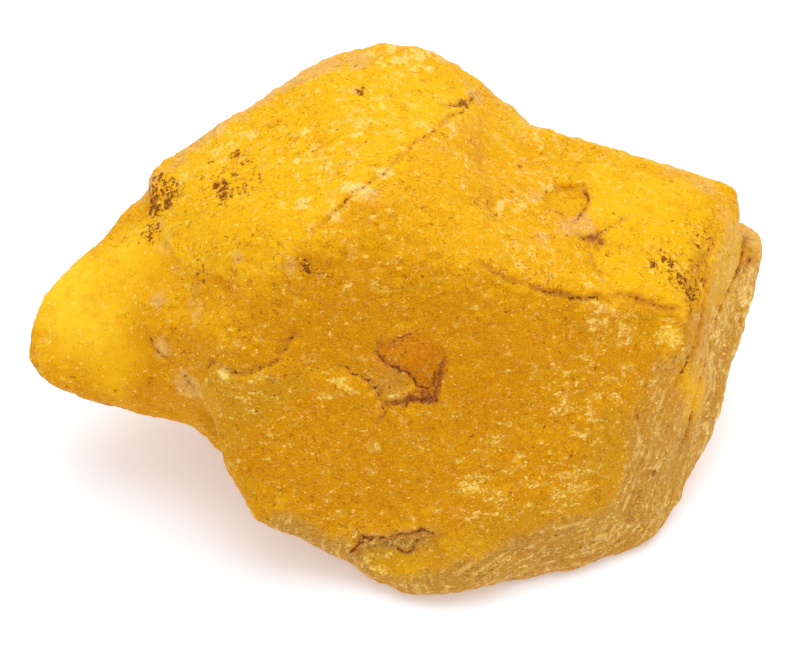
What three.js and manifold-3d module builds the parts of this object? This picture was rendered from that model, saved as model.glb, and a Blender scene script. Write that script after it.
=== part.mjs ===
// A rough yellow sapphire: one natural, weathered piece of crystal, lying on its flattest face.
// Millimetres, +Z up. X runs along the stone's length, from the thin tongue on the left (-X) to
// the layered end on the right (+X). -Y is the steep broad face, +Y is the back. The origin is
// on the table, under the middle of the stone.
//
// The stone is made in four steps: convex lumps are joined and old breaks taken off, the surface
// is divided and weathered, fresh chips are struck off, and the foot is cut flat.

import * as THREE from "three";
import { ConvexGeometry } from "three/addons/geometries/ConvexGeometry.js";
import { ImprovedNoise } from "three/addons/math/ImprovedNoise.js";
import { mergeVertices } from "three/addons/utils/BufferGeometryUtils.js";
import Module from "manifold-3d";

const wasm = await Module();
wasm.setup();

// ---------------------------------------------------------------- driving dimensions

const FACET_EDGE = 2; // longest edge of the divided surface
const SLIVER_EDGE = 0.7; // edges shorter than this are closed up before weathering
const ROUNDING_PASSES = 2; // each pass wears the edges back by about a third of a facet
const ROUNDING = 0.5; // how far a corner moves towards its neighbours in a pass
const REGAIN = 0.35; // skin added all over, so that worn rims come back to their size

// Weathering: waves of noise, each with its wavelength and its height.
const WAVES = [
  { length: 13, height: 0.5 },
  { length: 5.5, height: 0.35 },
  { length: 3.1, height: 0.15 },
];
const NOISE_SEED = 4.7; // where the noise is read, so another value gives another stone

const CHIP_REACH = 3; // how far a chip's cutter stands out of the surface
const CHIP_SLIVER = 0.15; // edges shorter than this are closed up after chipping
const FOOT_CUT = 0.35; // how much is taken off underneath to make the flat foot
const FOOT_SNAP = 0.15; // corners this near to the cut are put on it
const SAME_CORNER = 0.001; // corners nearer than this are one corner
const KEPT_ROOM = 100; // side of the box above the table, larger than the stone, that is kept

const SAPPHIRE_YELLOW = 0xd9a01c;

// ---------------------------------------------------------------- lumps
// Each lump is the convex hull of its corners, [x, y, z].

// The thick middle: flat top, steep broad face in front, blunt back.
const middle = [
  // rim of the top, round the back from left to right
  [-22.5, 7.1, 24.9],
  [-15.3, 9.2, 26.5],
  [-7.3, 13.4, 30.4],
  [-5.4, 15.2, 31.1],
  [-2.2, 16.3, 31.2],
  [2.2, 16.4, 30.4],
  [5.4, 14.8, 29],
  [8.2, 13, 27],
  // front rim of the top
  [-19.5, 1.5, 23.4],
  [-7.6, -7.5, 29],
  [-2.5, -4, 31],
  [2, 3, 31],
  [7.5, -8.5, 26.8],
  // slope that runs down under the right shoulder
  [16, 6, 22],
  [17, -4, 21],
  // broad face
  [-16.1, -10.9, 19],
  [3.7, -13.8, 17.5],
  [16, -8, 20],
  [17, -15.6, 8],
  [10.9, -19, 4.5],
  [5.4, -19.9, 2.6],
  [-0.5, -18.9, 1.6],
  [-5.2, -17.8, 2.9],
  [-12, -17.7, 6.2],
  [-14.4, -14.2, 10],
  // left flank, above the tongue
  [-17.8, -5, 20.8],
  [-16.5, -9.8, 15],
  // foot
  [-4, -16, 0],
  [10, -19.1, 0],
  [17, -17.1, 0],
  [20, -6, 0],
  [16, 11, 0],
  [2, 15, 0],
  [-9, 5, 0],
  // back
  [-16, 11, 15],
  [-5, 19, 14],
  [8, 20.5, 10],
  [12, 18, 20],
];

// The lower, flat-topped shoulder on the right.
const shoulder = [
  // top
  [6, 6, 25.5],
  [9.2, 11.8, 26.2],
  [12.4, 10.3, 24.7],
  [19, 8.7, 23.4],
  [25.8, 9.2, 22.3],
  [29.9, 7.4, 21.8],
  [26.8, 1.1, 20.5],
  [25.4, -1.4, 20],
  [24.4, -5.8, 19],
  [15.2, -8, 23],
  [6, -7, 26.4],
  // front and right
  [19.9, -10.2, 13.5],
  [17, -15.4, 8],
  [21.8, -15.1, 1],
  [24.5, -9.5, 3],
  [26.5, -3, 7],
  [27.5, 2, 13],
  // foot
  [17, -17.1, 0],
  [20, -13, 0],
  [23, -4, 0.6],
  [22, 8, 0],
  [10, 12, 0],
  // back
  [27, 10, 9],
  [22, 15, 10],
  [14, 17, 18],
];

// A layer standing against the right end, parted from the shoulder by a stained crack.
const endLayer = [
  [30.2, 9.6, 17],
  [32.7, 8.6, 16],
  [32.6, 6.7, 13.6],
  [31, 4, 10.5],
  [29.7, 0.7, 8],
  [28.4, -3.2, 6],
  [25.7, -9.8, 3],
  [22, -15.4, 1],
  [20, -13, 1],
  [24, -4, 2],
  [27, -1, 12],
  [27, 5, 17],
  [26, 10, 14],
  [28, 11, 8],
  [25, 6, 2.5],
];

// The thin tongue on the left, clear of the table.
const tongue = [
  // outer rim
  [-33.1, -4.3, 12.9],
  [-32.6, -2, 15.5],
  [-31.1, 0, 17.2],
  [-28.6, 1.8, 18.4],
  [-25.6, 2.4, 18.9],
  [-22.9, 4.7, 21.5],
  [-22, 6.5, 23.1],
  // lower rim
  [-30.2, -6.9, 11.3],
  [-24.8, -6.4, 9.7],
  [-21.4, -6.5, 8.9],
  [-18.4, -7.6, 8.9],
  [-15, -9, 8],
  // where it runs up into the middle
  [-16.2, -10.2, 15.2],
  [-16, -7.2, 20.6],
  [-16.4, -1, 24],
  [-14, 5, 25],
  // underneath
  [-26, 5, 13],
  [-20, 10, 16],
  [-12, 10, 8],
  [-14, 0, 5],
];

// A bulge under the root of the tongue.
const bulge = [
  [-18.2, -8, 8.6],
  [-16.2, -10.4, 7.8],
  [-19, -6.8, 9.4],
  [-16.2, -10.6, 11],
  [-16.4, -4, 7.4],
  [-12, -10, 4.4],
  [-11, -2, 6],
  [-12, -8, 14],
];

// The lip at the bottom of the broad face.
const lip = [
  [-1.8, -20.5, 0.9],
  [3.6, -22.3, 1.8],
  [9, -20.3, 3.4],
  [-4.9, -18.8, 3.1],
  [-3.6, -18.5, 5],
  [1, -18.8, 6.2],
  [5, -18.9, 6.4],
  [-3, -16, 0.4],
  [9, -17, 0],
  [2, -14, 9],
];

// Two low plates that stand proud of the broad face, on its lower left.
const plate = [
  [-16.8, -10.6, 16.8],
  [-13.4, -12.6, 18.4],
  [-10.3, -12.4, 19.4],
  [-8.9, -11.8, 21.2],
  [-9, -14.6, 13],
  [-16, -13.4, 13],
  [-14.9, -15, 9.5],
  [-13.1, -16.9, 7.3],
  [-12.8, -17.8, 6],
  [-4, -17.6, 7],
  [-10, -6, 15],
];
const secondPlate = [
  [-8, -12.5, 19.5],
  [-4.6, -13.1, 19.2],
  [-3.2, -13.5, 18.2],
  [-2, -14, 16.6],
  [-2.5, -15.4, 12.5],
  [-11, -15.6, 11],
  [-6, -17.6, 7],
  [-6, -6, 14],
];

// Thin layers of growth that step down the right end.
const layers = [
  [
    [29.2, 6.6, 21],
    [27.2, 0.8, 20.2],
    [28.4, 0.5, 13],
    [27.2, -3.4, 7],
    [29.8, 6.6, 14],
    [24, 3, 12],
    [26, 8, 18],
  ],
  [
    [25.2, -3.4, 19.2],
    [26.2, -6.2, 8],
    [24.8, -10, 3.6],
    [22, -11.4, 9],
    [20.8, -10.8, 14],
    [20, -6, 10],
  ],
];

// ---------------------------------------------------------------- breaks and chips
// Each is struck off a rim of corners [x, y, z, depth], going in against its way out.

// Old breaks, worn with the rest of the stone.
const breaks = [
  // hollow between the top and the right shoulder
  {
    wayOut: [0.3, 0.2, 0.93],
    rim: [
      [8.2, 15, 27.4, 0.1],
      [11.5, 11, 25.8, 0.1],
      [11, 4, 26, 0.7],
      [7.5, -5, 26.8, 0.4],
      [6, 6, 28.2, 0.2],
    ],
  },
  // long break along the back, under the top rim; it leaves a shelf and fades out to the right
  {
    wayOut: [-0.2, 0.93, 0.3],
    rim: [
      [-24, 9, 25, 0.5],
      [-12, 13.5, 27, 0.6],
      [3, 18.5, 27, 0.3],
      [13, 18.5, 19, 0.1],
      [4, 20, 17, 2],
      [-6, 17.5, 14.5, 3.2],
      [-17, 11.5, 13.5, 2.4],
      [-24, 8, 16, 1.6],
    ],
  },
  // lower right of the back
  {
    wayOut: [0.5, 0.85, -0.1],
    rim: [
      [9, 20.5, 13, 0.1],
      [17, 17, 15.5, 1],
      [26.5, 10.8, 12, 2.2],
      [26, 9, -2, 3],
      [10, 18, -2, 2.4],
    ],
  },
];

// Fresh chips, still sharp.
const chips = [
  // angular pit in the middle of the broad face
  {
    wayOut: [-0.05, -0.92, 0.38],
    rim: [
      [-1.8, -11.7, 21.6, 0.2],
      [1.2, -11.3, 22.5, 0.3],
      [3.6, -12.1, 21, 0.9],
      [2.4, -13.4, 18.4, 1.2],
      [-0.6, -13.4, 18.1, 0.8],
    ],
  },
  // hooked chip on the right shoulder
  {
    wayOut: [0.25, -0.1, 0.96],
    rim: [
      [11.8, 3.5, 25.7, 0.2],
      [15.4, 4.5, 25, 0.7],
      [15.5, 1.9, 25, 0.9],
      [13.7, -1, 25.2, 0.6],
      [11.8, 0.9, 25.8, 0.3],
    ],
  },
  // under the ledge at the bottom of the broad face
  {
    wayOut: [-0.1, -0.95, 0.25],
    rim: [
      [-5, -19.4, 3.4, 0.7],
      [-3.4, -19, 5.2, 1.1],
      [-1, -19.1, 5.9, 1.1],
      [2.4, -19.2, 6.5, 0.8],
      [3.6, -20, 4.6, 0.2],
      [-1.5, -20.6, 2.6, 0.1],
    ],
  },
];

// ---------------------------------------------------------------- geometry helpers

const vector = (corner) => new THREE.Vector3(...corner.slice(0, 3));

function hull(corners) {
  return solid(new ConvexGeometry(corners.map(vector)));
}

// What a break or a chip takes away: from well outside its rim, in to each corner's depth.
function cutter({ wayOut, rim }) {
  const out = vector(wayOut).normalize();
  const ends = rim.flatMap((corner) => {
    const depth = corner[3];
    return [CHIP_REACH, -depth].map((height) =>
      vector(corner).addScaledVector(out, height).toArray(),
    );
  });
  return hull(ends);
}

// A closed geometry as a manifold-3d solid. Only positions are kept, so that corners merge.
function solid(geometry) {
  const bare = new THREE.BufferGeometry()
    .setAttribute("position", geometry.getAttribute("position"))
    .setIndex(geometry.index);
  const merged = mergeVertices(bare, SAME_CORNER);
  return new wasm.Manifold(
    new wasm.Mesh({
      numProp: 3,
      vertProperties: new Float32Array(merged.attributes.position.array),
      triVerts: new Uint32Array(merged.index.array),
    }),
  );
}

// A solid's corners and faces as plain arrays.
function surfaceOf(body) {
  const mesh = body.getMesh();
  const points = [];
  for (let i = 0; i < mesh.numVert; i++) {
    points.push(
      new THREE.Vector3().fromArray(mesh.vertProperties, i * mesh.numProp),
    );
  }
  const faces = [];
  for (let i = 0; i < mesh.triVerts.length; i += 3) {
    faces.push([...mesh.triVerts.subarray(i, i + 3)]);
  }
  return { points, faces };
}

function geometryOf({ points, faces }) {
  return new THREE.BufferGeometry()
    .setFromPoints(points)
    .setIndex(faces.flat());
}

const edgeKey = (a, b) => (a < b ? `${a},${b}` : `${b},${a}`);

function longestEdge([a, b, c], points) {
  const edges = [[a, b], [b, c], [c, a]];
  const lengths = edges.map(([p, q]) => points[p].distanceTo(points[q]));
  const length = Math.max(...lengths);
  return { edge: edges[lengths.indexOf(length)], length };
}

// Splits each face's longest edge at its middle, until no edge is longer than the limit. Both
// faces of an edge are split at the same point, so the surface stays closed.
function divide({ points, faces }, limit) {
  for (;;) {
    const middles = new Map();
    for (const face of faces) {
      const { edge, length } = longestEdge(face, points);
      const key = edgeKey(...edge);
      if (length <= limit || middles.has(key)) continue;
      const [p, q] = edge.map((corner) => points[corner]);
      middles.set(key, points.push(p.clone().lerp(q, 0.5)) - 1);
    }
    if (middles.size === 0) return { points, faces };
    faces = faces.flatMap((face) => splitFace(face, middles, points));
  }
}

// The one to four faces that a face becomes when edges of it are split.
function splitFace([a, b, c], middles, points) {
  const [ab, bc, ca] = [[a, b], [b, c], [c, a]].map((e) => middles.get(edgeKey(...e)));
  const count = [ab, bc, ca].filter((m) => m !== undefined).length;
  if (count === 0) return [[a, b, c]];
  if (count === 3) return [[a, ab, ca], [ab, b, bc], [ca, bc, c], [ab, bc, ca]];
  // turned until its first edge is split, and where two are, its second edge as well
  if (ab === undefined || (count === 2 && bc === undefined)) {
    return splitFace([b, c, a], middles, points);
  }
  if (count === 1) return [[a, ab, c], [ab, b, c]];
  const across = points[a].distanceTo(points[bc]) < points[ab].distanceTo(points[c]);
  const rest = across ? [[a, ab, bc], [a, bc, c]] : [[a, ab, c], [ab, bc, c]];
  return [[ab, b, bc], ...rest];
}

// Closes up each edge shorter than the limit into its middle. An edge is left where its ends
// share more than two neighbours, because closing it would pinch the surface.
function closeSlivers({ points, faces }, limit) {
  for (;;) {
    const neighbours = points.map(() => new Set());
    for (const face of faces) {
      for (const corner of face) face.forEach((other) => neighbours[corner].add(other));
    }
    const settled = new Set();
    const movedTo = new Map();
    for (const [a, b] of faces.flatMap(([p, q, r]) => [[p, q], [q, r], [r, p]])) {
      if (settled.has(a) || settled.has(b)) continue;
      if (points[a].distanceTo(points[b]) >= limit) continue;
      const around = [...neighbours[a], ...neighbours[b]];
      const shared = [...neighbours[a]].filter((corner) => neighbours[b].has(corner));
      // the two ends themselves are among the shared ones
      if (shared.length !== 4) continue;
      points[a].lerp(points[b], 0.5);
      movedTo.set(b, a);
      around.forEach((corner) => settled.add(corner));
    }
    if (movedTo.size === 0) return { points, faces };
    faces = faces
      .map((face) => face.map((corner) => movedTo.get(corner) ?? corner))
      .filter((face) => new Set(face).size === 3);
  }
}

// Each corner moves part of the way to the middle of its neighbours, which rounds the edges.
function round({ points, faces }, share) {
  const sums = points.map(() => new THREE.Vector3());
  const counts = points.map(() => 0);
  for (const face of faces) {
    face.forEach((corner, i) => {
      sums[corner].add(points[face[(i + 1) % 3]]);
      counts[corner] += 1;
    });
  }
  points.forEach((p, i) => {
    if (counts[i] > 0) p.lerp(sums[i].divideScalar(counts[i]), share);
  });
}

// Moves each corner along its normal by the regained skin and the waves of noise.
function weather(surface) {
  const noise = new ImprovedNoise();
  const geometry = geometryOf(surface);
  geometry.computeVertexNormals();
  const normals = geometry.getAttribute("normal");
  const normal = new THREE.Vector3();
  surface.points.forEach((p, i) => {
    let height = REGAIN;
    for (const wave of WAVES) {
      const at = p.clone().divideScalar(wave.length).addScalar(NOISE_SEED);
      height += wave.height * noise.noise(at.x, at.y, at.z);
    }
    p.addScaledVector(normal.fromBufferAttribute(normals, i), height);
  });
}

// ---------------------------------------------------------------- the stone

const corners = [middle, shoulder, endLayer, tongue, bulge, lip, plate, secondPlate, ...layers];
const lumps = corners.map(hull);
const joined = lumps.reduce((whole, lump) => whole.add(lump));
const broken = breaks.map(cutter).reduce((whole, cut) => whole.subtract(cut), joined);

const surface = closeSlivers(divide(surfaceOf(broken), FACET_EDGE), SLIVER_EDGE);
for (let pass = 0; pass < ROUNDING_PASSES; pass++) round(surface, ROUNDING);
weather(surface);

const weathered = solid(geometryOf(surface));
const chipped = chips.map(cutter).reduce((whole, cut) => whole.subtract(cut), weathered);

// The foot: only what is above the cut is kept.
const clean = closeSlivers(surfaceOf(chipped), CHIP_SLIVER);
for (const p of clean.points) {
  if (Math.abs(p.z - FOOT_CUT) < FOOT_SNAP) p.z = FOOT_CUT;
}
const aboveTable = new THREE.BoxGeometry(KEPT_ROOM, KEPT_ROOM, KEPT_ROOM);
aboveTable.translate(0, 0, KEPT_ROOM / 2 + FOOT_CUT);
const body = geometryOf(surfaceOf(solid(geometryOf(clean)).intersect(solid(aboveTable))));

// The origin goes under the middle of the stone, on the table.
body.computeBoundingBox();
const centre = body.boundingBox.getCenter(new THREE.Vector3());
body.translate(-centre.x, -centre.y, -body.boundingBox.min.z);

const stone = new THREE.Mesh(
  body,
  new THREE.MeshStandardMaterial({
    color: SAPPHIRE_YELLOW,
    roughness: 0.45,
    metalness: 0,
  }),
);
stone.name = "rough_sapphire";

const part = new THREE.Group();
part.add(stone);
export default part;
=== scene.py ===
"""Dresses the rough yellow sapphire and sets it on a pale table.

The stone's solid is copied and given a finer skin: worn edges, ledges, hairline cracks, pits and
grain. Its finish is a cloudy yellow crystal with frosted edges, brown stains, small painted glints,
and painted glow and shade.
"""

import math

import bpy
import numpy as np
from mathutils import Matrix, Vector, kdtree, noise
from mathutils.bvhtree import BVHTree


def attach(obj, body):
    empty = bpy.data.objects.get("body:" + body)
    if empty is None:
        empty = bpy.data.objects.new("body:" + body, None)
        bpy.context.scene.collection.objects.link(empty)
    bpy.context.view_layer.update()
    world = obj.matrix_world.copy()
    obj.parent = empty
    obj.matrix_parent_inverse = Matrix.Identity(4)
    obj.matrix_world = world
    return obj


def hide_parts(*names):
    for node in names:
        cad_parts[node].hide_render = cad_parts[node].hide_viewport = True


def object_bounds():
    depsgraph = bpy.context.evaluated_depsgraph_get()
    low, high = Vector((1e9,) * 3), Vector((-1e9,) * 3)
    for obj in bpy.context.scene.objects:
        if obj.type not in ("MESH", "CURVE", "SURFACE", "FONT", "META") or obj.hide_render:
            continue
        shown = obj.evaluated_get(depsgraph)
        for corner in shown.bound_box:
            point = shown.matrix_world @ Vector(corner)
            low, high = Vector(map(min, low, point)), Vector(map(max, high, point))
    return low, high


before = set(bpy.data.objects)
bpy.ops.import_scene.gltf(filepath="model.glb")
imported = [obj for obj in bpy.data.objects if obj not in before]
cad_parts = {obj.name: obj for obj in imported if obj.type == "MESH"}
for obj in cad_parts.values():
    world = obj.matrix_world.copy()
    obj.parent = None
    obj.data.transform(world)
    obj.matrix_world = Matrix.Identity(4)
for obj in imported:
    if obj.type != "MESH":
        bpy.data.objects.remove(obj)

bl_info = {
    "name": "Rough Yellow Sapphire",
    "version": (1, 0, 0),
    "blender": (4, 2, 0),
    "location": "3D View > Sidebar > Sapphire",
    "description": "Builds a rough yellow sapphire and a small studio for it",
    "category": "Object",
}

NODE = "rough_sapphire"
CAD_LOW, CAD_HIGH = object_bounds()
MM = 0.001

# ---------------------------------------------------------------- the view
# The camera, and the view that it gives. Lengths are in millimetres.

VIEW_WIDTH = 794
VIEW_HEIGHT = 661
LENS = 90
SENSOR_WIDTH = 36
CAMERA_ANGLE = math.radians(45)
CAMERA_DISTANCE = 170
TARGET = Vector((-0.53, -3.5, 15.6))

TO_CAMERA = Vector((0, -math.cos(CAMERA_ANGLE), math.sin(CAMERA_ANGLE)))
VIEW_UP = Vector((0, math.sin(CAMERA_ANGLE), math.cos(CAMERA_ANGLE)))
CAMERA_PLACE = TARGET + TO_CAMERA * CAMERA_DISTANCE
PIXELS_PER_MM = VIEW_WIDTH * LENS / SENSOR_WIDTH / CAMERA_DISTANCE

# The table that the stone lies on, and the lamp over it.
TABLE_SIDE = 3000
LAMP_PLACE = Vector((60, 120, 500))
LAMP_SIDE = 500

# ---------------------------------------------------------------- how the skin is worked out
# Lengths are in millimetres.

WANDER_SEED = 1  # how cracks wander and rims are torn, and another value gives another stone
WEIGHT_LEVELS = 64  # steps between 0 and 1 in a vertex group
CRACK_STEP = 0.12  # spacing of the points along a crack
SQUEEZED = 0.5  # depth, inside the solid's box, over which the skin is flattened into it
WEAR_PASSES = 14  # how often the skin is averaged, to see what stands out of it

# ---------------------------------------------------------------- marks on the stone
# A mark is given in one of two ways. Two numbers are its spot in the view, (across, down), in
# pixels from the top left corner, and its place on the solid is worked out from that. Three
# numbers are its place, (x, y, z), in millimetres in the stone's own frame.
#
# A crack runs along its route. Seen from outside and looking along the route, "left" is the
# height by which the left side stands over the right one, and it is negative where the right
# side is the higher one.

CRACKS = (
    # over the two plates on the lower left of the broad face
    dict(
        route=(
            (204, 368), (214, 362), (226, 370), (240, 374), (264, 366), (277, 362), (291, 342),
            (296, 332),
        ),
        depth=0.1, left=-0.25, stain=0.6,
    ),
    dict(
        route=(
            (340, 366), (-4, -12, 19.5), (365, 379), (372, 385), (377, 388), (381, 398),
            (384, 410), (380, 418), (377, 424),
        ),
        depth=0.08, left=-0.2, stain=0.8,
    ),
    # round the angular pit
    dict(
        route=((386, 350), (392, 344), (395, 340), (408, 336), (417, 330)),
        depth=0.05, left=0, stain=1,
    ),
    dict(
        route=(
            (382, 337), (379, 345), (378, 352), (384, 357), (393, 365), (397, 368), (412, 377),
            (418, 386), (432, 388),
        ),
        depth=0.08, left=0, stain=1,
    ),
    dict(
        route=((430, 390), (438, 380), (442, 372), (446, 362)),
        depth=0.08, left=-0.1, stain=0.9,
    ),
    dict(
        route=((386, 402), (396, 401), (404, 406), (408, 400), (430, 400), (442, 402)),
        depth=0.08, left=-0.1, stain=1,
    ),
    # front edge of the right shoulder
    dict(
        route=((5.5, -7.5, 27.5), (496, 272), (512, 281), (527, 286)),
        depth=0.05, left=0.12, stain=0.35,
    ),
    dict(
        route=((527, 286), (560, 294), (582, 299), (604, 296)),
        depth=0.08, left=0.2, stain=0.9,
    ),
    dict(
        route=((604, 296), (636, 297), (647, 302), (665, 310), (683, 308)),
        depth=0.05, left=0.15, stain=0.45,
    ),
    # hooked chip on the shoulder, and the root of stain below it
    dict(
        route=((583, 187), (587, 195), (586, 206), (580, 216), (572, 222)),
        depth=0.06, left=0, stain=0.95,
    ),
    dict(
        route=((520, 214), (541, 216), (552, 210), (560, 214), (568, 224)),
        depth=0.04, left=0.08, stain=0.3,
    ),
    dict(
        route=((13.5, -1, 25), (583, 240), (16.5, -0.5, 24), (630, 215)),
        depth=0.05, left=0, stain=0.5,
    ),
    dict(
        route=((15, -2, 24), (590, 262), (602, 275), (610, 290)),
        depth=0.05, left=0, stain=0.4,
    ),
    # stained crack by the peak, and the worn edge that runs down from it
    dict(
        route=((440, 105), (446, 105), (455, 106), (471, 100), (478, 97)),
        depth=0.08, left=0, stain=0.9,
    ),
    dict(
        route=(
            (471, 100), (462, 112), (450, 117), (434, 132), (414, 143), (412, 145), (400, 154),
            (386, 172), (374, 178), (356, 192), (330, 214), (312, 235),
        ),
        depth=0.04, left=-0.25, stain=0.45,
    ),
    # upper left of the broad face
    dict(
        route=((225, 262), (243, 258), (262, 270), (275, 268), (290, 268), (313, 266)),
        depth=0.06, left=0, stain=0.2,
    ),
    # where the tongue meets the middle
    dict(
        route=((160, 230), (168, 247), (175, 262), (188, 275), (200, 290)),
        depth=0.08, left=0.15, stain=0.15,
    ),
    dict(
        route=((148, 330), (155, 345), (163, 356), (178, 368), (190, 380), (200, 395)),
        depth=0.15, left=0, stain=0.5,
    ),
    # ledge at the bottom of the broad face
    dict(
        route=(
            (346, 555), (351, 548), (358, 543), (362, 536), (376, 537), (393, 533), (410, 534),
            (422, 530), (431, 530), (437, 535), (445, 536),
        ),
        depth=0.2, left=0.3, stain=1,
    ),
    dict(
        route=(
            (356, 553), (359, 543), (376, 541), (393, 546), (403, 553), (413, 550), (416, 542),
            (426, 531),
        ),
        depth=0.12, left=0.1, stain=0.8,
    ),
    # along the right edge of the shoulder
    dict(
        route=((706, 250), (702, 265), (698, 280), (693, 295), (690, 310), (686, 325)),
        depth=0.08, left=0, stain=0.5,
    ),
    dict(
        route=((698, 252), (694, 268), (690, 285), (686, 300)),
        depth=0.06, left=0, stain=0.45,
    ),
    # between the shoulder and the end layer, and down the growth layers
    dict(
        route=(
            (31, 8, 16.5), (30.5, 7, 16.5), (30, 6, 16), (738, 266), (728, 290), (722, 305),
            (714, 330), (26.5, -3, 12), (700, 380), (694, 405), (24, -9, 7),
        ),
        depth=0.4, left=0, stain=0.8,
    ),
    dict(
        route=((26.8, 3, 21), (26, 0.5, 20.5), (25.3, -2, 19), (24.6, -5, 17), (22.5, -8.5, 13)),
        depth=0.15, left=0.15, stain=0.5,
    ),
    # along the shelf on the back
    dict(
        route=((-17, 9.5, 17), (-11, 12.5, 17), (-5, 15, 17.5), (0, 17, 18), (6, 18.5, 19)),
        depth=0.2, left=0, stain=0.8,
    ),
    dict(
        route=((2, 19.5, 13), (4, 19.5, 9), (3, 18, 5), (5, 17, 1)),
        depth=0.2, left=0.15, stain=0.7,
    ),
    dict(
        route=((-9, 12, 27), (-4, 15, 26), (1, 16.5, 27), (6, 15, 25)),
        depth=0.12, left=-0.15, stain=0.5,
    ),
    dict(
        route=((16, 14, 18), (20, 13, 14), (24, 11, 12), (27, 9, 8)),
        depth=0.2, left=0, stain=0.8,
    ),
)

# Where the stone is fuller than its solid, or more worn, with a height below 0: each is
# (mark, radius, height).
FULLNESS = (
    ((176, 160), 4, -0.4), ((205, 144), 4, -0.2), ((250, 114), 4, -0.25), ((138, 208), 4, 0.38),
    ((154, 180), 2.5, 0.35), ((118, 232), 3, -0.2), ((300, 84), 3, 0.3),
    ((-6, 13.5, 31), 4, 0.25), ((380, 54), 4, 0.2), ((2, 15.5, 30), 4, 0.3),
    ((507, 114), 4, -0.4), ((583, 150), 4, -0.45), ((616, 158), 4, -0.35), ((654, 170), 4, -0.45),
    ((31, 6.5, 15), 4, 0.45), ((272, 518), 3, 0.5), ((245, 488), 3, -0.2), ((334, 548), 3, 0.25),
    ((682, 474), 4, 0.25), ((-20, -8.5, 11), 4, -0.3), ((-28, 1, 18), 4, 0.2),
    ((-31, -4, 13.5), 4, 0.2),
)

# The front edge of the worn band that runs down the right side and along the bottom.
BAND_EDGE = (
    (690, 318), (682, 352), (650, 379), (631, 426), (630, 450), (610, 500), (598, 513),
    (537, 527), (479, 556), (450, 579),
)

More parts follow.
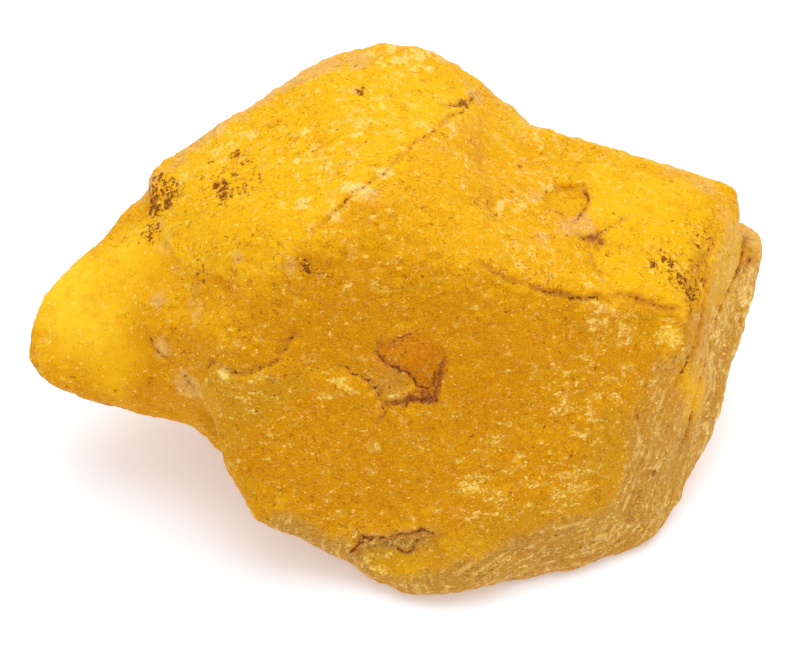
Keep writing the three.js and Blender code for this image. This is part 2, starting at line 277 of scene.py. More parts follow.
# Each is (mark, radius, strength).
ZONES = {
    # thin rim of the tongue, where the light shines through
    "lit": (
        ((-29, -1, 17.5), 4, 0.9), ((-27, -3, 17), 4, 0.7), ((-24, 1, 20), 3.5, 0.5),
        ((-27, 3, 12), 5, 0.6),
    ),
    # painted glow: places painted brighter than their surroundings
    "painted_glow": (
        ((-27, -2, 17.5), 7.5, 1), ((-25, -5, 15), 6, 0.75), ((-22, 1, 21), 5, 0.9),
        ((-18, -2, 23), 4, 0.75), ((-14, 0, 26), 5, 0.75), ((435, 510), 3.5, 0.35),
        ((670, 336), 2, 0.7), ((700, 290), 1.5, 0.7), ((17.5, 7, 24.5), 3, 0.9),
        ((-20, 8, 17), 7, 0.6), ((29, 8, 12), 5, 0.35), ((29, 3, 18), 7, 0.85),
        ((12, 17, 18), 7, 0.35), ((-4, 17, 24), 7, 0.5),
    ),
    # smooth, with hardly any grain
    "clear": (
        ((75, 300), 6, 1), ((-25, -5, 14.5), 5, 0.8), ((-22, -1, 20), 4, 0.7),
        ((20, 4, 22.5), 5, 0.6), ((-24, 5, 14), 5, 0.8),
    ),
    # thick with pale clumps
    "frost": (
        ((-5, 5, 30), 8, 0.35), ((8, 4, 27), 6, 0.2), ((0, 15, 31), 4, 0.7),
        ((28, -2, 12), 5, 0.5), ((31, 4, 12.5), 3, 0.6), ((27, -5, 6), 4, 0.35),
        ((17.5, 7, 24.5), 2.5, 0.3), ((360, 190), 1.4, 1), ((338, 208), 1.5, 0.9),
        ((430, 135), 1, 0.7), ((4.5, 6, 29.5), 1.6, 0.7), ((-16, 6, 26), 5, 0.3),
        ((308, 128), 0.7, 1), ((357, 133), 0.8, 1), ((430, 70), 0.9, 1), ((345, 190), 1.1, 1),
        ((302, 205), 1, 1), ((296, 162), 0.6, 1), ((386, 172), 0.9, 1), ((330, 165), 0.7, 0.8),
        ((250, 135), 0.9, 0.9), ((420, 125), 0.7, 0.6), ((465, 185), 0.7, 0.8),
        ((5, 2.5, 29), 0.8, 0.8), ((500, 205), 0.8, 0.9), ((545, 185), 1, 0.9),
        ((9.5, 1.5, 26), 1.6, 0.6), ((613, 309), 1.6, 0.35), ((223, 373), 1, 0.8),
        ((377, 448), 0.9, 0.7), ((-6, 17, 14), 5, 0.6), ((8, 19, 18), 4, 0.6),
        ((20, 14, 12), 5, 0.5), ((-14, 10, 20), 5, 0.5), ((12, 10, 25.5), 4, 0.4),
    ),
    # thick with painted glints
    "painted_glints": (
        ((17, -8, 20.5), 3.5, 0.7), ((670, 336), 2.2, 1), ((15, -11.5, 15.5), 5, 0.6),
        ((8, -15.5, 12), 5.5, 0.4), ((570, 490), 3, 0.8), ((7, -17, 9.5), 4, 0.6),
        ((223, 373), 1.1, 1), ((-12, -12, 17.5), 3, 0.5), ((333, 388), 2, 0.8),
        ((-10.5, -13.5, 15), 2.5, 0.5), ((375, 560), 1.6, 0.8), ((-4, 4, 30.5), 6, 0.1),
        ((-2, 16, 12), 6, 0.7), ((14, 16, 14), 5, 0.7),
    ),
    # pinkish, granular skin
    "peach": (
        ((160, 224), 1, 0.9), ((168, 247), 1.5, 0.6), ((-19, -2.5, 21.5), 1.5, 0.5),
        ((31, 4, 14), 4, 0.6), ((160, 300), 1.4, 0.8), ((195, 310), 1.4, 0.6),
        ((190, 385), 1.8, 1), ((-20, -7, 17), 1.4, 0.8), ((237, 258), 0.7, 1),
        ((290, 268), 0.9, 0.9), ((540, 240), 1.6, 0.7), ((520, 170), 1.1, 0.6),
        ((510, 190), 1.1, 0.6), ((357, 88), 0.8, 0.9), ((-4, 14, 31), 2, 0.9),
        ((320, 70), 1.1, 0.9), ((23.5, 8.5, 23), 2, 0.6), ((705, 185), 2, 0.8),
        ((728, 205), 1.5, 0.6), ((475, 96), 2, 0.8), ((3, 3, 30), 2, 0.55),
        ((-2.5, -3, 30.5), 1.6, 0.7), ((5, 7, 29.5), 2, 0.5), ((440, 60), 1.2, 0.7),
        ((525, 160), 0.7, 0.9), ((530, 196), 1.3, 0.8), ((578, 225), 2, 0.85),
        ((28.5, 4, 20.5), 3, 0.55), ((695, 320), 0.9, 0.8), ((604, 308), 0.6, 0.8),
        ((748, 238), 1.8, 1), ((-4, 17, 10), 4, 0.8), ((26, 10, 9), 4, 0.7),
    ),
    # clusters of dark specks
    "specks": (
        ((-14.5, 2.5, 27), 3.6, 0.35), ((210, 161), 0.5, 0.9), ((234, 156), 0.9, 0.9),
        ((247, 161), 0.8, 0.8), ((220, 190), 1.3, 1), ((224, 198), 1, 0.9),
        ((-13.5, 1, 27.5), 0.8, 0.8), ((162, 190), 2.6, 0.7), ((168, 200), 1.2, 1),
        ((156, 208), 1.2, 1), ((-21.5, 2, 22), 1.6, 0.7), ((22.5, -2, 21.7), 2.4, 0.45),
        ((652, 264), 0.7, 0.9), ((672, 265), 0.8, 0.9), ((682, 278), 1.2, 1),
        ((693, 295), 1.2, 0.9), ((700, 270), 1.6, 0.5), ((25, 2, 21), 2, 0.45),
        ((462, 103), 0.9, 1), ((-3.5, 10, 31), 0.9, 0.8), ((306, 269), 1, 0.7),
        ((-17, -4, 22.5), 2, 0.4), ((7, -1, 27.5), 2, 0.35), ((-25, -7, 10), 1.6, 0.6),
        ((-2, 18, 21), 3, 0.8), ((14, 16, 9), 3, 0.7), ((-15, 8, 9), 2.5, 0.7),
    ),
    # reddish brown stain
    "stain": (
        ((595, 240), 1.4, 0.8), ((10, 6, 26), 0.6, 0.8), ((10.5, 8, 26), 0.5, 0.6),
        ((462, 103), 0.8, 1), ((185, 370), 0.8, 0.3), ((745, 262), 1, 0.9),
        ((29.6, 4.5, 15.2), 0.9, 0.8), ((28.6, 2, 15.3), 0.9, 0.7), ((26, -4, 14), 1, 0.6),
        ((655, 472), 0.6, 1), ((-2, 16, 17), 2.4, 0.7), ((22, 12, 13), 1.6, 0.7),
        ((4, 18, 5), 1.6, 0.6),
    ),
}

# Patches on the side that the camera sees. Each outline is made of spots in the view.
PATCHES = {
    # floor of the angular pit
    "orange": (
        (
            (379, 343), (395, 340), (408, 336), (425, 335), (441, 347), (444, 353), (438, 366),
            (433, 374), (430, 384), (422, 386), (412, 379), (404, 373), (393, 365), (384, 357),
            (379, 350),
        ),
    ),
    # low side of the pit
    "stain": (
        (
            (447, 352), (446, 364), (443, 385), (440, 404), (428, 405), (412, 403), (398, 405),
            (386, 407), (382, 401), (396, 398), (404, 396), (409, 389), (421, 388), (431, 387),
            (433, 374), (438, 366),
        ),
    ),
    # tan bands along the right side and the bottom, the ledge, and the chip beside the pit: worn
    # skin, with painted shade on the low parts
    "tan": (
        (
            (686, 332), (682, 350), (659, 358), (650, 379), (638, 397), (631, 426), (627, 452),
            (622, 475), (612, 498), (598, 513), (566, 519), (537, 527), (508, 539), (479, 556),
            (450, 579), (440, 600), (640, 600), (760, 480), (790, 300), (770, 200), (742, 196),
            (728, 228), (716, 260), (705, 300),
        ),
        ((238, 536), (344, 595), (391, 595), (367, 560), (356, 546), (321, 534), (279, 513)),
        ((373, 572), (409, 577), (438, 570), (474, 555), (450, 608), (391, 595)),
        ((355, 534), (393, 533), (437, 526), (428, 541), (413, 550), (390, 548), (355, 550)),
        (
            (374, 376), (384, 369), (393, 365), (400, 370), (408, 378), (409, 389), (405, 396),
            (396, 401), (385, 399), (376, 388),
        ),
    ),
    # greenish: the plates, round the ledge, and beside the band
    "olive": (
        (
            (206, 362), (225, 366), (262, 378), (275, 392), (262, 420), (244, 446), (240, 470),
            (262, 500), (300, 520), (330, 545), (300, 540), (250, 510), (225, 475), (208, 430),
            (204, 390),
        ),
        ((300, 372), (310, 385), (290, 400), (250, 415), (257, 379)),
        (
            (350, 552), (362, 545), (393, 546), (413, 550), (432, 535), (450, 537), (470, 545),
            (462, 570), (440, 585), (410, 590), (385, 575), (365, 562),
        ),
        (
            (640, 400), (632, 426), (627, 452), (622, 475), (612, 498), (598, 513), (566, 519),
            (537, 527), (508, 539), (470, 560), (440, 545), (470, 520), (520, 505), (560, 495),
            (580, 470), (590, 440), (600, 415),
        ),
        ((696, 231), (708, 243), (698, 280), (690, 313), (686, 325), (690, 290)),
    ),
    # granular: the rim at the upper left
    "peach": (
        (
            (138, 205), (150, 180), (180, 150), (230, 113), (275, 78), (310, 62), (345, 55),
            (345, 66), (300, 84), (262, 106), (230, 128), (195, 154), (165, 174), (152, 190),
            (146, 205),
        ),
    ),
    # bright, a painted glow: the shoulder, the groove beside the band, and the upper left
    "bright": (
        (
            (590, 175), (640, 178), (690, 192), (704, 215), (700, 240), (695, 262), (690, 290),
            (680, 312), (664, 300), (640, 290), (612, 284), (600, 262), (605, 245), (590, 232),
            (578, 225), (590, 205),
        ),
        (
            (679, 370), (694, 360), (703, 371), (708, 394), (699, 418), (691, 424), (683, 407),
            (678, 389),
        ),
        (
            (150, 185), (165, 172), (195, 154), (230, 126), (262, 105), (300, 82), (345, 66),
            (390, 62), (430, 70), (462, 90), (470, 100), (462, 112), (450, 118), (434, 132),
            (414, 143), (400, 154), (386, 172), (356, 192), (330, 214), (312, 235), (290, 262),
            (240, 275), (190, 262), (160, 245),
        ),
    ),
    # loose, granular skin on the shoulder
    "frost": (
        (
            (515, 205), (530, 228), (560, 225), (577, 244), (600, 290), (560, 293), (525, 280),
            (494, 260), (488, 240),
        ),
    ),
    # chips that are sunk below what is round them
    "sunk": (
        (
            (540, 190), (560, 190), (584, 184), (590, 205), (572, 222), (560, 214), (548, 212),
            (537, 222), (524, 222),
        ),
    ),
}


# ---------------------------------------------------------------- settings


def length(name, description, default):
    """A length in metres that a user can change."""
    return bpy.props.FloatProperty(
        name=name,
        description=description,
        default=default,
        min=0,
        precision=5,
        subtype="DISTANCE",
        unit="LENGTH",
    )


def colour(name, description, default):
    """A colour, given as red, green and blue from 0 to 255 as a screen shows them."""
    return bpy.props.FloatVectorProperty(
        name=name,
        description=description,
        default=[screen_to_linear(channel / 255) for channel in default],
        min=0,
        max=1,
        subtype="COLOR",
        size=3,
    )


def screen_to_linear(channel):
    if channel <= 0.04045:
        return channel / 12.92
    return ((channel + 0.055) / 1.055) ** 2.4


class StoneSettings(bpy.types.PropertyGroup):
    """Sizes and colours of the stone."""

    voxel: length("Voxel", "Spacing of the skin while it is shaped", 0.24 * MM)
    lumps: length("Lumps", "Height of the broad unevenness", 0.7 * MM)
    hackle: length("Hackle", "Height of the broken texture", 0.32 * MM)
    grain: length("Grain", "Height of the fine grain", 0.1 * MM)
    triangles: bpy.props.IntProperty(
        name="Triangles",
        description="Most triangles in the finished skin",
        default=190000,
        min=1000,
    )
    lit: colour("Lit", "Thin places that light shines through", (255, 206, 44))
    # bright and deep are the ends of the painted light: faces turned up and thin places are painted
    # towards bright, and steep faces, faces turned down and thick places towards deep, which is
    # painted shade as well as the thick stone's colour; bright is also the colour of the light
    # grain
    bright: colour("Bright", "Clean, bright places", (240, 183, 18))
    deep: colour("Deep", "Where the stone is thick", (205, 134, 4))
    orange: colour("Orange", "Floor of the angular pit", (216, 132, 12))
    olive: colour("Olive", "Greenish tint on the plates", (198, 146, 30))
    # tan is the worn bands' own colour and, low down, painted shade
    tan: colour("Tan", "Worn bands along the edges", (188, 136, 58))
    peach: colour("Peach", "Pinkish, granular skin", (222, 172, 98))
    frost: colour("Frost", "Pale clumps", (252, 224, 140))
    # painted glints: small bright spots painted where the grains would catch the light
    painted_glint: colour("Glint", "Small bright grains", (254, 224, 122))
    shade: colour("Shade", "What the dark grain is dimmed by", (190, 152, 50))
    stain: colour("Stain", "Reddish brown stain", (172, 96, 46))
    dark: colour("Dark", "Cracks and specks", (114, 50, 6))


class StageSettings(bpy.types.PropertyGroup):
    """The table, the light and the camera."""

    table: colour("Table", "Colour of the table", (243, 247, 254))
    lit: bpy.props.FloatProperty(
        name="Lit table", description="Light that the table gives off", default=0.2, min=0
    )
    key: bpy.props.FloatProperty(
        name="Key light",
        description="Power of the large soft light overhead",
        default=1.4,
        min=0,
        unit="POWER",
    )
    sky: bpy.props.FloatProperty(
        name="Sky", description="Strength of the light from all round", default=0.85, min=0
    )
    lens: bpy.props.FloatProperty(
        name="Lens", description="Focal length of the camera", default=LENS, unit="CAMERA"
    )
    height: bpy.props.FloatProperty(
        name="Camera height",
        description="Angle of the camera above the table",
        default=CAMERA_ANGLE,
        subtype="ANGLE",
    )
    distance: length("Distance", "From the camera to what it looks at", CAMERA_DISTANCE * MM)
    target: bpy.props.FloatVectorProperty(
        name="Target",
        description="What the camera looks at",
        default=TARGET * MM,
        subtype="TRANSLATION",
        unit="LENGTH",
    )


# ---------------------------------------------------------------- working on the mesh


def select_only(thing):
    bpy.ops.object.select_all(action="DESELECT")
    thing.select_set(True)
    bpy.context.view_layer.objects.active = thing


def finish_with(thing, kind, **settings):
    """Adds a modifier with these settings and applies it."""
    select_only(thing)
    modifier = thing.modifiers.new(kind.title(), kind)
    for name, value in settings.items():
        setattr(modifier, name, value)
    bpy.ops.object.modifier_apply(modifier=modifier.name)


def corners(mesh):
    """The places of a mesh's vertices, in millimetres."""
    places = np.empty(len(mesh.vertices) * 3)
    mesh.vertices.foreach_get("co", places)
    return places.reshape(-1, 3) / MM


def set_corners(mesh, places):
    mesh.vertices.foreach_set("co", (places * MM).ravel())
    mesh.update()


def ease(values, low, high):
    """0 below low, 1 above high, and smooth between them."""
    share = np.clip((values - low) / (high - low), 0, 1)
    return share * share * (3 - 2 * share)


def grouped(thing, name, weights):
    """Gives a thing a vertex group with these weights, one for each vertex."""
    group = thing.vertex_groups.new(name=name)
    for step in range(1, WEIGHT_LEVELS + 1):
        chosen = np.nonzero(np.round(weights * WEIGHT_LEVELS) == step)[0]
        if len(chosen):
            group.add(chosen.tolist(), step / WEIGHT_LEVELS, "REPLACE")
    return group.name


def painted(mesh, name, values):
    """Gives a mesh a number at each vertex, for its finish to read."""
    layer = mesh.attributes.new(name, "FLOAT", "POINT")
    layer.data.foreach_set("value", np.ascontiguousarray(values, dtype=np.float32))


# ---------------------------------------------------------------- marks and the view


def in_view(spot):
    """How far right of the target and above it a spot in the view is, in millimetres."""
    across, down = spot
    return (across - VIEW_WIDTH / 2) / PIXELS_PER_MM, (VIEW_HEIGHT / 2 - down) / PIXELS_PER_MM


def seen(places):
    """How far right of the target and above it the camera sees each place."""
    away = places - np.array(CAMERA_PLACE)
    nearness = CAMERA_DISTANCE / -(away @ np.array(TO_CAMERA))
    return away[:, 0] * nearness, away @ np.array(VIEW_UP) * nearness


def solid_tree():
    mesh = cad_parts[NODE].data
    places = [vertex.co for vertex in mesh.vertices]
    return BVHTree.FromPolygons(places, [face.vertices for face in mesh.polygons])


def place_of(mark):
    """The place of a mark in millimetres, which for a spot in the view is on the solid."""
    if len(mark) == 3:
        return Vector(mark)
    right, up = in_view(mark)
    towards = TARGET + Vector((right, 0, 0)) + VIEW_UP * up - CAMERA_PLACE
    found = SOLID.ray_cast(CAMERA_PLACE * MM, towards)[0]
    if found is None:
        raise ValueError(f"the camera sees no stone at {mark}")
    return found / MM


SOLID = solid_tree()


# ---------------------------------------------------------------- the stone's skin


def raggedness(places):
    """A small shift for each place, so that what is drawn round the shifted places has a torn
    rim."""
    shift = [
        noise.noise_vector(Vector(p) / 2.6) * 0.9 + noise.noise_vector(Vector(p) / 0.9) * 0.45
        for p in places
    ]
    return np.array(shift)


def crack_points(mesh):
    """Points along every crack, wandering as a real one does: each with the side vector that
    points to its left along the surface, and the number of its crack."""
    tree = BVHTree.FromObject(mesh, bpy.context.evaluated_depsgraph_get())
    points = []
    for number, crack in enumerate(CRACKS):
        route = [place_of(mark) for mark in crack["route"]]
        path = []
        for start, end in zip(route, route[1:]):
            count = max(1, int((end - start).length / CRACK_STEP))
            path += [start.lerp(end, step / count) for step in range(count)]
        path.append(route[-1])
        on_surface = []
        for place in path:
            wander = 0.25 * noise.noise_vector(place / 1.6) + 0.2 * noise.noise_vector(place / 0.5)
            found, normal, _, _ = tree.find_nearest((place + wander) * MM)
            on_surface.append((found / MM, normal))
        for step, (place, normal) in enumerate(on_surface):
            before = on_surface[max(0, step - 2)][0]
            after = on_surface[min(len(on_surface) - 1, step + 2)][0]
            side = normal.cross(after - before).normalized()
            ends = min(step, len(on_surface) - 1 - step) * CRACK_STEP
            points.append((place, side, number, min(1, 0.25 + ends / 1.2)))
    return points


def crack_distances(places, points):
    """For each place: how far it is from the nearest crack, how far to the crack's left it
    lies, that crack's number, and how strong the crack is there."""
    tree = kdtree.KDTree(len(points))
    for index, point in enumerate(points):
        tree.insert(point[0], index)
    tree.balance()
    near = np.empty(len(places))
    left = np.empty(len(places))
    number = np.empty(len(places), dtype=int)
    strength = np.empty(len(places))
    for index, place in enumerate(places):
        found, at, distance = tree.find(place)
        near[index] = distance
        left[index] = (Vector(place) - found).dot(points[at][1])
        number[index] = points[at][2]
        strength[index] = points[at][3]
    return near, left, number, strength


def band_distances(places):
    """How far each place is from the edge of the worn band."""
    edge = [place_of(mark) for mark in BAND_EDGE]
    nearest = np.full(len(places), np.inf)
    for start, end in zip(edge, edge[1:]):
        run = np.array(end - start)
        along = np.clip((places - np.array(start)) @ run / run.dot(run), 0, 1)
        away = np.linalg.norm(places - np.array(start) - along[:, None] * run, axis=1)
        nearest = np.minimum(nearest, away)
    return nearest


def zone(places, torn, name):
    """How strongly a named zone marks each place, from 0 to 1. Torn is a small shift for each
    place, and small marks are shifted less."""
    total = np.zeros(len(places))
    for mark, radius, strength in ZONES[name]:
        shifted = places + torn * min(1, radius / 2.5)
        away = np.linalg.norm(shifted - np.array(place_of(mark)), axis=1) / radius
        total = np.maximum(total, strength * (1 - ease(away, 0.25, 1.25)))
    return total


def patch(places, facing, name, soft):
    """1 inside a named patch and 0 outside it, with a rim this soft, in millimetres."""
    across, up = seen(places)
    total = np.zeros(len(places))
    for spots in PATCHES[name]:
        outline = [in_view(spot) for spot in spots]
        inside = np.zeros(len(places), dtype=bool)
        rim = np.full(len(places), np.inf)
        for (x0, y0), (x1, y1) in zip(outline, outline[1:] + outline[:1]):
            dx, dy = x1 - x0, y1 - y0
            along = ((across - x0) * dx + (up - y0) * dy) / (dx * dx + dy * dy)
            along = np.clip(along, 0, 1)
            away = np.hypot(across - x0 - along * dx, up - y0 - along * dy)
            rim = np.minimum(rim, away)
            if y0 != y1:
                crossing = (y0 > up) != (y1 > up)
                inside ^= crossing & (across < x0 + (up - y0) * dx / dy)
        depth = np.where(inside, rim, -rim)
        total = np.maximum(total, ease(depth, -soft, soft))
    return total * ease(facing, 0, 0.25)


def surface_normals(mesh):
    normals = np.empty(len(mesh.vertices) * 3)
    mesh.vertices.foreach_get("normal", normals)
    return normals.reshape(-1, 3)


def facing_front(mesh):
    return surface_normals(mesh) @ np.array(TO_CAMERA)


def cloud(name, size, kind="IMPROVED_PERLIN", depth=2):
    """A solid pattern of noise with this size of feature, in metres."""
    pattern = bpy.data.textures.new(name, "CLOUDS")
    pattern.noise_basis = kind
    pattern.noise_scale = size
    pattern.noise_depth = depth
    return pattern


def shape_skin(stone, settings):
    """Turns the copied solid into the stone's fine skin."""
    select_only(stone)
    bpy.ops.object.mode_set(mode="EDIT")
    bpy.ops.mesh.select_all(action="SELECT")
    bpy.ops.mesh.remove_doubles(threshold=1e-6)
    bpy.ops.object.mode_set(mode="OBJECT")
    finish_with(stone, "SUBSURF", levels=1, render_levels=1)
    finish_with(stone, "REMESH", mode="VOXEL", voxel_size=settings.voxel, use_smooth_shade=True)
    finish_with(stone, "SMOOTH", factor=0.5, iterations=6)

    # the foot stays flat, so nothing below is moved
    places = corners(stone.data)
    off_table = ease(places[:, 2], 0.15, 1.2)
    free = grouped(stone, "free", off_table)

    # smoothing wears the stone down, and this puts it back
    finish_with(stone, "DISPLACE", strength=0.14 * MM, mid_level=0, vertex_group=free)
    finish_with(
        stone,
        "DISPLACE",
        texture=cloud("lumps", 4.2 * MM, depth=1),
        texture_coords="LOCAL",
        strength=settings.lumps,
        mid_level=0.5,
        vertex_group=free,
    )
    carve(stone, off_table)
    finish_with(
        stone,
        "DISPLACE",
        texture=cloud("hackle", 1.5 * MM, "VORONOI_F2_F1", depth=1),
        texture_coords="LOCAL",
        strength=settings.hackle,
        mid_level=0.5,
        vertex_group=free,
    )
    finish_with(
        stone,
        "DISPLACE",
        texture=cloud("grain", 0.6 * MM, depth=1),
        texture_coords="LOCAL",
        strength=settings.grain,
        mid_level=0.5,
        vertex_group=free,
    )
    stone.data.calc_loop_triangles()
    ratio = min(1, settings.triangles / len(stone.data.loop_triangles))
    finish_with(stone, "DECIMATE", decimate_type="COLLAPSE", ratio=ratio)
    finish_with(stone, "TRIANGULATE")

    # back onto the table and into the solid's box, flattening what stands out of it
    low = np.array(CAD_LOW) / MM
    high = np.array(CAD_HIGH) / MM
    places = np.maximum(corners(stone.data), low)
    over = np.maximum(places - (high - SQUEEZED), 0)
    places = np.minimum(places, high - SQUEEZED) + SQUEEZED * (1 - np.exp(-over / SQUEEZED))
    set_corners(stone.data, places)
    select_only(stone)
    bpy.ops.object.shade_smooth()


def carve(stone, off_table):
    """Sinks each crack as a groove, lifts one side of it as a ledge, sinks the chips, and fills
    out or wears down the broad forms."""
    places = corners(stone.data)
    near, left, number, strength = crack_distances(places, crack_points(stone))
    depth = np.array([crack["depth"] for crack in CRACKS])[number]
    rise = np.array([crack["left"] for crack in CRACKS])[number]
    sunk = depth * strength * (1 - ease(near, 0.08, 0.42))
    side = np.where(rise > 0, ease(left, -0.1, 0.3), 1 - ease(left, -0.3, 0.1))
    raised = np.abs(rise) * strength * side * (1 - ease(near, 0.3, 3.2))
    facing = facing_front(stone.data)
    sunk = sunk + 0.05 * patch(places, facing, "sunk", 0.3)
    sunk = sunk + 0.25 * patch(places, facing, "orange", 0.3)
    for mark, radius, height in FULLNESS:
        away = np.linalg.norm(places - np.array(place_of(mark)), axis=1) / radius
        change = height * (1 - ease(away, 0, 1))
        raised = raised + np.maximum(change, 0)
        sunk = sunk - np.minimum(change, 0)
    for name, heights, sign in (("sunk", sunk, -1), ("raised", raised, 1)):
        most = heights.max()
        finish_with(
            stone,
            "DISPLACE",
            strength=sign * most * MM,
            mid_level=0,
            vertex_group=grouped(stone, name, heights / most * off_table),
        )


def paint_marks(stone):
    """Stores at each vertex what the finish needs to know about cracks, patches and form."""
    mesh = stone.data
    places = corners(mesh)
    near, left, number, strength = crack_distances(places, crack_points(stone))
    stain = np.array([crack["stain"] for crack in CRACKS])[number]
    painted(mesh, "crack_left", np.clip(left, -3, 3))
    painted(mesh, "crack_near", np.minimum(near, 3))
    painted(mesh, "crack_stain", stain * strength)

    torn = raggedness(places)
    shifted = places + torn
    facing = facing_front(mesh)
    normals = surface_normals(mesh)
    up = normals[:, 2]
    # painted light: faces turned up are painted brighter, as light falls on them from above, and
    # steep faces and faces turned down deeper; thin places get a painted glow
    painted_glow = 0.12 + 0.4 * ease(up, 0.35, 0.95) + 0.12 * ease(up, -0.6, -0.1)
    painted_glow = np.maximum(painted_glow + 0.25 * thinness(stone, places, normals), zone(places, torn, "painted_glow"))
    # the bright patches add more painted glow
    bright = patch(shifted, facing, "bright", 0.8)
    painted(mesh, "painted_glow", np.minimum(painted_glow + 0.4 * bright, 1))
    painted(mesh, "orange", 0.85 * patch(places, facing, "orange", 0.15))
    tan = patch(places + 0.5 * torn, facing, "tan", 0.6) * (1 - 0.8 * bright)
    # painted shade: the tan is strongest low down, near the table
    painted(mesh, "tan", tan * (1 - 0.5 * ease(places[:, 2], 5, 18)))
    painted(mesh, "olive", 0.65 * patch(shifted, facing, "olive", 1.2))
    for name in ("lit", "clear", "painted_glints", "specks"):
        painted(mesh, name, zone(places, torn, name))
    peach = patch(places + 0.5 * torn, facing + 0.3, "peach", 0.7)
    painted(mesh, "peach", np.maximum(zone(places, torn, "peach"), peach))
    frost = 0.3 * patch(shifted, facing, "frost", 0.9)
    painted(mesh, "frost", np.maximum(zone(places, torn, "frost"), frost))
    stained = 0.95 * patch(places + 0.4 * torn, facing, "stain", 0.25)
    painted(mesh, "stain", np.maximum(zone(places, torn, "stain"), stained))
    painted(mesh, "edge", edge_wear(mesh, places))
    painted(mesh, "from_band", band_distances(places))


def thinness(stone, places, normals):
    """1 where the stone is thin behind the surface, 0 where it is thick."""
    tree = BVHTree.FromObject(stone, bpy.context.evaluated_depsgraph_get())
    thin = np.zeros(len(places))
    for index, (place, normal) in enumerate(zip(places, normals)):
        inwards = -Vector(normal)
        hit, _, _, distance = tree.ray_cast(Vector(place) * MM + inwards * 0.02 * MM, inwards)
        if hit is not None:
            thin[index] = distance / MM
    return 1 - ease(thin, 3, 14)


def edge_wear(mesh, places):
    """How far each vertex stands out of its surroundings: 1 on a sharp ridge, -1 in a cleft."""
    links = np.empty(len(mesh.edges) * 2, dtype=np.int32)
    mesh.edges.foreach_get("vertices", links)
    one, other = links.reshape(-1, 2).T
    count = np.bincount(links, minlength=len(places)).astype(float)
    smooth = places.copy()
    for _ in range(WEAR_PASSES):
        total = np.zeros_like(smooth)
        np.add.at(total, one, smooth[other])
        np.add.at(total, other, smooth[one])
        smooth = 0.3 * smooth + 0.7 * total / count[:, None]
    out = ((places - smooth) * surface_normals(mesh)).sum(axis=1)
    return np.clip(out / 0.3, -1, 1)


# ---------------------------------------------------------------- finish


class Value:
    """A number on a shader socket. Sums and products of it add the nodes that work them out."""

    def __init__(self, finish, socket):
        self.finish = finish
        self.socket = socket

    def __add__(self, other):
        return self.finish.math("ADD", self, other)

    def __radd__(self, other):
        return self.finish.math("ADD", other, self)

    def __sub__(self, other):
        return self.finish.math("SUBTRACT", self, other)

    def __rsub__(self, other):
        return self.finish.math("SUBTRACT", other, self)

    def __mul__(self, other):
        return self.finish.math("MULTIPLY", self, other)

    def __rmul__(self, other):
        return self.finish.math("MULTIPLY", other, self)

    def __abs__(self):
        return self.finish.math("ABSOLUTE", self)


class Finish:
    """A material that is being built."""

    def __init__(self, name):
        self.material = bpy.data.materials.new(name)
        self.material.use_nodes = True
        self.tree = self.material.node_tree
        self.tree.nodes.clear()

    def node(self, kind, settings=None, inputs=None):
        """Adds a node, sets it up, and gives its sockets values or links."""
        added = self.tree.nodes.new(kind)
        for name, value in (settings or {}).items():
            setattr(added, name, value)
        for name, value in (inputs or {}).items():
            socket = added.inputs[name]
            if isinstance(value, Value):
                value = value.socket
            if isinstance(value, bpy.types.NodeSocket):
                self.tree.links.new(value, socket)
            else:
                socket.default_value = value
        return added

    def math(self, operation, *terms):
        added = self.node("ShaderNodeMath", {"operation": operation}, dict(enumerate(terms)))
        return Value(self, added.outputs[0])

    def stronger(self, *marks):
        """The strongest of several marks."""
        strongest = marks[0]
        for mark in marks[1:]:
            strongest = self.math("MAXIMUM", strongest, mark)
        return strongest

    def attribute(self, name):
        added = self.node("ShaderNodeAttribute", {"attribute_name": name})
        return Value(self, added.outputs["Fac"])

    def eased(self, value, low, high):
        """0 below low, 1 above high, and smooth between them. Low may be the larger one."""
        added = self.node(
            "ShaderNodeMapRange",
            {"interpolation_type": "SMOOTHSTEP"},
            {"Value": value, "From Min": low, "From Max": high},
        )
        return Value(self, added.outputs["Result"])

    def mix(self, one, other, share, blend="MIX"):
        """One colour turning into another."""
        added = self.node(
            "ShaderNodeMix",
            {"data_type": "RGBA", "blend_type": blend},
            {0: share, 6: one, 7: other},
        )
        return added.outputs[2]

    def noise(self, place, size, detail=2, roughness=0.5, distortion=0, seed=0):
        """Noise from about 0 to 1, with this size of feature in the units of the place."""
        added = self.node(
            "ShaderNodeTexNoise",
            {"noise_dimensions": "4D"},
            {
                "Vector": place,
                "W": seed,
                "Scale": 1 / size,
                "Detail": detail,
                "Roughness": roughness,
                "Distortion": distortion,
            },
        )
        return Value(self, added.outputs["Fac"])

    def strokes(self, place, size, width, crowding, seed):
        """Short, thin, wavy strokes. Crowding, from about -0.1 to 0.2, makes them more common."""
        curls = self.noise(place, size, detail=2, roughness=0.6, distortion=0.6, seed=seed)
        breaks = self.noise(place, 1.4 * size, detail=1, seed=seed + 7)
        thin = self.eased(abs(curls - 0.5), width, 0.3 * width)
        return thin * self.eased(breaks + crowding, 0.56, 0.66)


def opaque(rgb):
    return (*rgb, 1)


